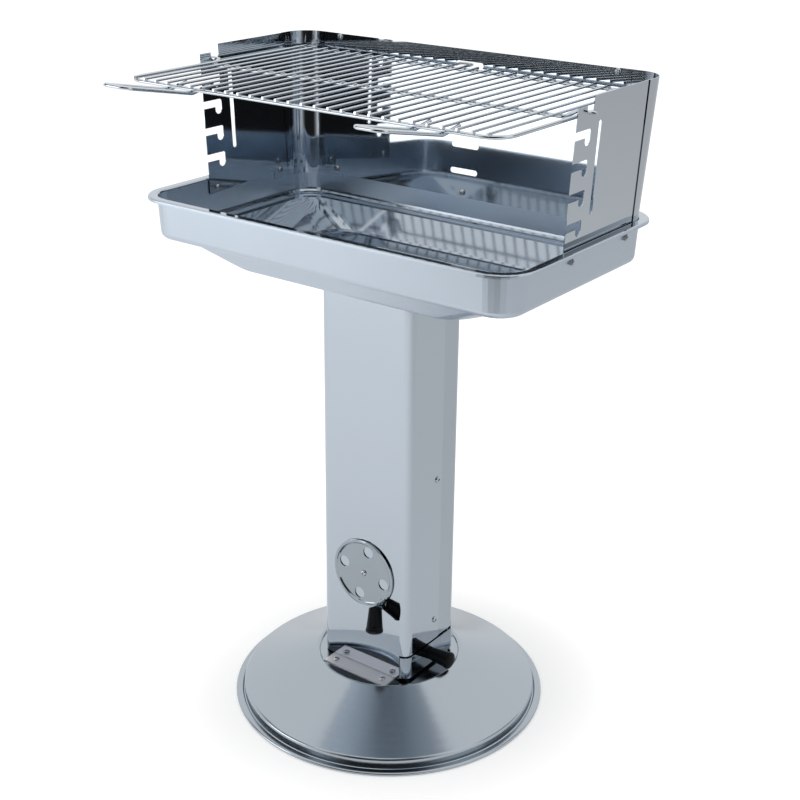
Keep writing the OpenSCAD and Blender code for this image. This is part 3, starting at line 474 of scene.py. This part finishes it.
# %% [markdown]
# The pan is one pressing with three finishes: satin outside, a little smoother on the inner face of
# its wall, and polished on its ledge, slope and floor, where the grate's bars and the windshield
# show. It could be cut into three materials, but the CAD mesh isn't cut here, so one material
# tells its faces apart by their normals. A face that points away from the pan's middle is outside,
# and inside, a face that looks up is polished. The inner wall's colour is also lightened as painted
# light, and the colour of the upward faces is darkened as painted shade.

# %% Finishes, painted light and painted shade of the pan
# The wall's tone lightens the inner wall as painted light; the floor's tone darkens the upward faces as
# painted shade
WALL_POLISH, WALL_PAINTED_LIGHT = 0.75, 1.25
FLOOR_POLISH, FLOOR_PAINTED_SHADE = 0.2, 0.85
MIDDLE_DEPTH = 0.1
UPWARD_STARTS, UPWARD_ENDS = 0.15, 0.4


def facing_outwards(tree, normal):
    """1 on faces that point away from the pan's middle, 0 on the others."""
    place = add(tree, "ShaderNodeTexCoord")
    from_middle = add(tree, "ShaderNodeVectorMath", operation="MULTIPLY_ADD")
    from_middle.inputs[1].default_value = (1, 1, 0)
    from_middle.inputs[2].default_value = (0, 0, -MIDDLE_DEPTH)
    facing = add(tree, "ShaderNodeVectorMath", operation="DOT_PRODUCT")
    outside = add(tree, "ShaderNodeMath", operation="GREATER_THAN")
    outside.inputs[1].default_value = 0
    link_all(tree, (place.outputs["Object"], from_middle.inputs[0]),
             (from_middle.outputs[0], facing.inputs[0]), (normal, facing.inputs[1]),
             (facing.outputs["Value"], outside.inputs[0]))
    return outside.outputs[0]


def finishes_and_painted_tones(material):
    """Scale the roughness on the inner wall and on the floor, and their colour as painted light and
    painted shade.
    """
    tree = material.node_tree
    shader = tree.nodes["Principled BSDF"]
    normal = add(tree, "ShaderNodeNewGeometry").outputs["True Normal"]
    outside = facing_outwards(tree, normal)
    split = add(tree, "ShaderNodeSeparateXYZ")
    tree.links.new(normal, split.inputs[0])
    for socket, wall, floor in (("Roughness", WALL_POLISH, FLOOR_POLISH),
                                ("Base Color", WALL_PAINTED_LIGHT, FLOOR_PAINTED_SHADE)):
        plain = shader.inputs[socket].links[0].from_socket
        upward = map_range(tree, UPWARD_STARTS, UPWARD_ENDS, wall, floor, "LINEAR")
        choose = map_range(tree, 0, 1, 0, 1, "LINEAR")
        scaled = add(tree, "ShaderNodeVectorMath", operation="SCALE")
        link_all(tree, (split.outputs["Z"], upward.inputs["Value"]),
                 (upward.outputs[0], choose.inputs["To Min"]), (outside, choose.inputs["Value"]),
                 (plain, scaled.inputs[0]), (choose.outputs[0], scaled.inputs["Scale"]),
                 (scaled.outputs[0], shader.inputs[socket]))


finishes_and_painted_tones(finishes["pan"])
print("pan: satin outside, smoother inner wall, polished floor")

# %% [markdown]
# The two knobs are black plastic that stands the heat. Plain black would do from afar, but a
# moulded knob has a faint grain, so a fine noise varies its tone, its dullness and its relief. Its
# gloss is low and the same all over, so that is a number on the shader itself.

# %% Black plastic
PLASTIC_COLOUR = (0.0035, 0.004, 0.005)
PLASTIC_DULL, PLASTIC_SPREAD = 0.3, 0.1
PLASTIC_GLOSS = 0.08
PLASTIC_GRAIN, PLASTIC_DETAIL = 900, 2
PLASTIC_BUMP = 0.08
DARKER, LIGHTER = 0.8, 1.2


def plastic(name):
    material = bpy.data.materials.new(name)
    material.use_nodes = True
    tree = material.node_tree
    shader = tree.nodes["Principled BSDF"]
    shader.inputs["Specular IOR Level"].default_value = PLASTIC_GLOSS
    place = add(tree, "ShaderNodeTexCoord")
    noise = add(tree, "ShaderNodeTexNoise")
    noise.inputs["Scale"].default_value = PLASTIC_GRAIN
    noise.inputs["Detail"].default_value = PLASTIC_DETAIL
    relief = relief_of(tree, PLASTIC_BUMP)
    spread = add(tree, "ShaderNodeMath", operation="MULTIPLY_ADD")
    spread.inputs[1].default_value = PLASTIC_SPREAD
    spread.inputs[2].default_value = PLASTIC_DULL
    tones = tone_range(tree, [DARKER * c for c in PLASTIC_COLOUR], [LIGHTER * c for c in PLASTIC_COLOUR])
    link_all(tree, (place.outputs["Object"], noise.inputs["Vector"]),
             (noise.outputs["Fac"], relief.inputs["Height"]),
             (noise.outputs["Fac"], spread.inputs[0]), (spread.outputs[0], shader.inputs["Roughness"]),
             (noise.outputs["Fac"], tones.inputs["Factor"]),
             (tones.outputs["Result"], shader.inputs["Base Color"]),
             (relief.outputs[0], shader.inputs["Normal"]))
    return material


finishes["plastic"] = plastic("black_plastic")
print("plastic:", finishes["plastic"].name)

# %% [markdown]
# Each piece now gets its finish. A list of all the pieces would work, but their names already say
# what they are: whatever belongs to the grate is chromed wire, every screw, nut and bolt is plain
# steel, and only a few pieces need naming one by one. The rest is sheet that hardly shows.

# %% Finish of each piece
NAMED_FINISHES = {
    "damper_knob": "plastic", "tray_knob": "plastic", "column_front": "column",
    "tray_front_panel": "column", "column_rear": "column_back", "base_dish": "dish",
    "fire_pan": "pan", "damper_disc": "disc", "foot_bracket_front": "bracket",
    "foot_bracket_rear": "bracket",
}


def finish_of(name):
    if name in NAMED_FINISHES:
        return NAMED_FINISHES[name]
    if name.startswith("grate_"):
        return "chrome"
    if any(word in name for word in ("screw", "nut", "bolt")):
        return "screw"
    return "shield" if name.startswith("shield_") else "inner"


for name, node in nodes.items():
    node.data.materials.clear()
    node.data.materials.append(finishes[finish_of(name)])
print("finishes in use:", sorted({finish_of(name) for name in nodes}))

# %% [markdown]
# The small pieces that follow are grown by Geometry Nodes. The result could stay a live modifier,
# but the barbecue's bodies move and take plain meshes, so a helper runs the tree once,
# keeps the mesh and lets the modifier go. A second one joins the meshes of one body, and a third
# takes a CAD mesh apart into its separate solids, to find where each of them is.

# %% Helpers for grown pieces
MERGE_DISTANCE = 0.001 * MM


def grown_tree(name, *inputs):
    """A geometry tree with named inputs, its input node and its output node."""
    tree = bpy.data.node_groups.new(name, "GeometryNodeTree")
    tree.interface.new_socket("Geometry", in_out="OUTPUT", socket_type="NodeSocketGeometry")
    for label, kind in inputs:
        tree.interface.new_socket(label, in_out="INPUT", socket_type="NodeSocket" + kind)
    return tree, add(tree, "NodeGroupInput"), add(tree, "NodeGroupOutput")


def grown(name, tree, values, base=None):
    """Run a geometry tree with named inputs and give back a plain mesh object."""
    seed = placed(name + "_seed", base or bpy.data.meshes.new(name + "_seed"))
    modifier = seed.modifiers.new("grow", "NODES")
    modifier.node_group = tree
    for item in tree.interface.items_tree:
        if item.in_out == "INPUT" and item.name in values:
            modifier[item.identifier] = values[item.name]
    bpy.context.view_layer.update()
    ready = seed.evaluated_get(bpy.context.evaluated_depsgraph_get())
    mesh = bpy.data.meshes.new_from_object(ready)
    mesh.name = name
    bpy.data.objects.remove(seed)
    return placed(name, mesh)


def joined(name, parts):
    """One plain mesh from several, for one body."""
    whole = bmesh.new()
    for part in parts:
        whole.from_mesh(part.data)
    mesh = bpy.data.meshes.new(name)
    whole.to_mesh(mesh)
    whole.free()
    mesh.materials.append(parts[0].data.materials[0])
    for part in parts:
        bpy.data.objects.remove(part)
    return placed(name, mesh)


def islands(mesh):
    """The separate solids of a mesh, each as a list of its points."""
    work = bmesh.new()
    work.from_mesh(mesh)
    bmesh.ops.remove_doubles(work, verts=work.verts, dist=MERGE_DISTANCE)
    left = set(work.verts)
    groups = []
    while left:
        todo = [left.pop()]
        group = []
        while todo:
            vert = todo.pop()
            group.append(vert.co.copy())
            for edge in vert.link_edges:
                other = edge.other_vert(vert)
                if other in left:
                    left.remove(other)
                    todo.append(other)
        groups.append(group)
    work.free()
    return groups


print("grate bars:", len(islands(nodes["grate_bars"].data)), "separate solids")

# %% [markdown]
# Where a bar is spot-welded to a wire, a little metal is pressed out beside it. Each nugget could be
# a copied ball, but they follow a rule, so one tree puts a flattened ball on every point of a line.
# The rows lie on the front and rear wire of the frame and on the cross wire, and their pitch is
# read from the frame.

# %% Weld nuggets
BAR_COUNT = 28
NUGGET = (2.3 * MM, 2.3 * MM, 1.0 * MM)
NUGGET_SEGMENTS, NUGGET_RINGS = 8, 5


def row_tree():
    tree, take, give = grown_tree("weld_row", ("Count", "Int"), ("Start", "Vector"),
                                  ("Step", "Vector"), ("Size", "Vector"), ("Metal", "Material"))
    line = add(tree, "GeometryNodeMeshLine")
    ball = add(tree, "GeometryNodeMeshUVSphere")
    ball.inputs["Segments"].default_value = NUGGET_SEGMENTS
    ball.inputs["Rings"].default_value = NUGGET_RINGS
    ball.inputs["Radius"].default_value = 1
    place = add(tree, "GeometryNodeInstanceOnPoints")
    real = add(tree, "GeometryNodeRealizeInstances")
    smooth = add(tree, "GeometryNodeSetShadeSmooth")
    paint = add(tree, "GeometryNodeSetMaterial")
    link_all(tree, (take.outputs["Count"], line.inputs["Count"]),
             (take.outputs["Start"], line.inputs["Start Location"]),
             (take.outputs["Step"], line.inputs["Offset"]), (line.outputs[0], place.inputs["Points"]),
             (ball.outputs[0], place.inputs["Instance"]), (take.outputs["Size"], place.inputs["Scale"]),
             (place.outputs[0], real.inputs[0]), (real.outputs[0], smooth.inputs[0]),
             (smooth.outputs[0], paint.inputs[0]), (take.outputs["Metal"], paint.inputs["Material"]),
             (paint.outputs[0], give.inputs[0]))
    return tree


frame_low, frame_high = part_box("grate_frame")
bars_low, bars_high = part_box("grate_bars")
bar_radius = (bars_high.z - bars_low.z) / 2
wire_radius = (frame_high.z - frame_low.z) / 2
bar_pitch = (bars_high.x - bars_low.x - 2 * bar_radius) / (BAR_COUNT - 1)
weld_z = (frame_high.z + bars_low.z) / 2
cross_points = [point for group in islands(nodes["grate_cross_wire"].data) for point in group]
cross_front = min(point.y for point in cross_points) + wire_radius
weld_row = row_tree()
rows = [frame_low.y + wire_radius, frame_high.y - wire_radius, cross_front]
nuggets = joined("weld_nuggets", [
    grown("row_%d" % k, weld_row, {
        "Count": BAR_COUNT, "Start": (bars_low.x + bar_radius, y, weld_z),
        "Step": (bar_pitch, 0, 0), "Size": NUGGET, "Metal": finishes["chrome"]})
    for k, y in enumerate(rows)])
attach(nuggets, "grate")
print("weld nuggets:", BAR_COUNT * len(rows), "at a pitch of", round(bar_pitch / MM, 2), "mm")

# %% [markdown]
# The CAD screws are plain shanks. A full thread could be cut into each, but only the ends that stand
# out of the nuts round the pan's wall show, so a short thread is wound on those: a spiral swept with
# a small profile, placed on each tip and turned along its screw. The screws lean with the wall.

# %% Thread ends
THREAD_TURNS = 1.6
THREAD_LENGTH = 1.0 * MM
THREAD_RIDGE = 0.2 * MM
SHANK_R = 2.4 * MM
TIP_DEPTH = 0.05 * MM
WALL_LEAN = math.radians(3)
SPIRAL_STEPS, RIDGE_SIDES = 10, 4


def thread_tree():
    tree, take, give = grown_tree(
        "thread_end", ("Geometry", "Geometry"), ("Turns", "Float"), ("Radius", "Float"),
        ("Length", "Float"), ("Ridge", "Float"), ("Turn", "Rotation"), ("Metal", "Material"))
    spiral = add(tree, "GeometryNodeCurveSpiral")
    spiral.inputs["Resolution"].default_value = SPIRAL_STEPS
    ring = add(tree, "GeometryNodeCurvePrimitiveCircle")
    ring.inputs["Resolution"].default_value = RIDGE_SIDES
    sweep = add(tree, "GeometryNodeCurveToMesh")
    sweep.inputs["Fill Caps"].default_value = True
    place = add(tree, "GeometryNodeInstanceOnPoints")
    real = add(tree, "GeometryNodeRealizeInstances")
    paint = add(tree, "GeometryNodeSetMaterial")
    link_all(tree, (take.outputs["Turns"], spiral.inputs["Rotations"]),
             (take.outputs["Radius"], spiral.inputs["Start Radius"]),
             (take.outputs["Radius"], spiral.inputs["End Radius"]),
             (take.outputs["Length"], spiral.inputs["Height"]),
             (take.outputs["Ridge"], ring.inputs["Radius"]), (spiral.outputs[0], sweep.inputs["Curve"]),
             (ring.outputs[0], sweep.inputs["Profile Curve"]),
             (take.outputs["Geometry"], place.inputs["Points"]),
             (sweep.outputs[0], place.inputs["Instance"]),
             (take.outputs["Turn"], place.inputs["Rotation"]),
             (place.outputs[0], real.inputs[0]), (real.outputs[0], paint.inputs[0]),
             (take.outputs["Metal"], paint.inputs["Material"]), (paint.outputs[0], give.inputs[0]))
    return tree


def tip_of(points, way):
    """The middle of a screw's end that points along way."""
    far = max(point.dot(way) for point in points)
    end = [point for point in points if point.dot(way) > far - TIP_DEPTH]
    return sum(end, Vector()) / len(end)


thread_end = thread_tree()
across, down = math.cos(WALL_LEAN), -math.sin(WALL_LEAN)
threads = []
for side, node, way in (("right", "shield_side_screws", Vector((across, 0, down))),
                        ("left", "shield_side_screws", Vector((-across, 0, down))),
                        ("rear", "shield_back_screws", Vector((0, across, down)))):
    screws = [group for group in islands(nodes[node].data)
              if side == "rear" or (group[0].x > 0) == (side == "right")]
    tips = [tip_of(group, way) - way * (THREAD_LENGTH + THREAD_RIDGE) for group in screws]
    places = bpy.data.meshes.new("tips_" + side)
    places.from_pydata([tuple(tip) for tip in tips], [], [])
    threads.append(grown("thread_" + side, thread_end, {
        "Turns": THREAD_TURNS, "Radius": SHANK_R, "Length": THREAD_LENGTH, "Ridge": THREAD_RIDGE,
        "Turn": Vector((0, 0, 1)).rotation_difference(way).to_euler(), "Metal": finishes["screw"],
    }, places))
thread_ends = joined("thread_ends", threads)
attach(thread_ends, "root")
print("threads:", len(islands(thread_ends.data)), "screw ends")
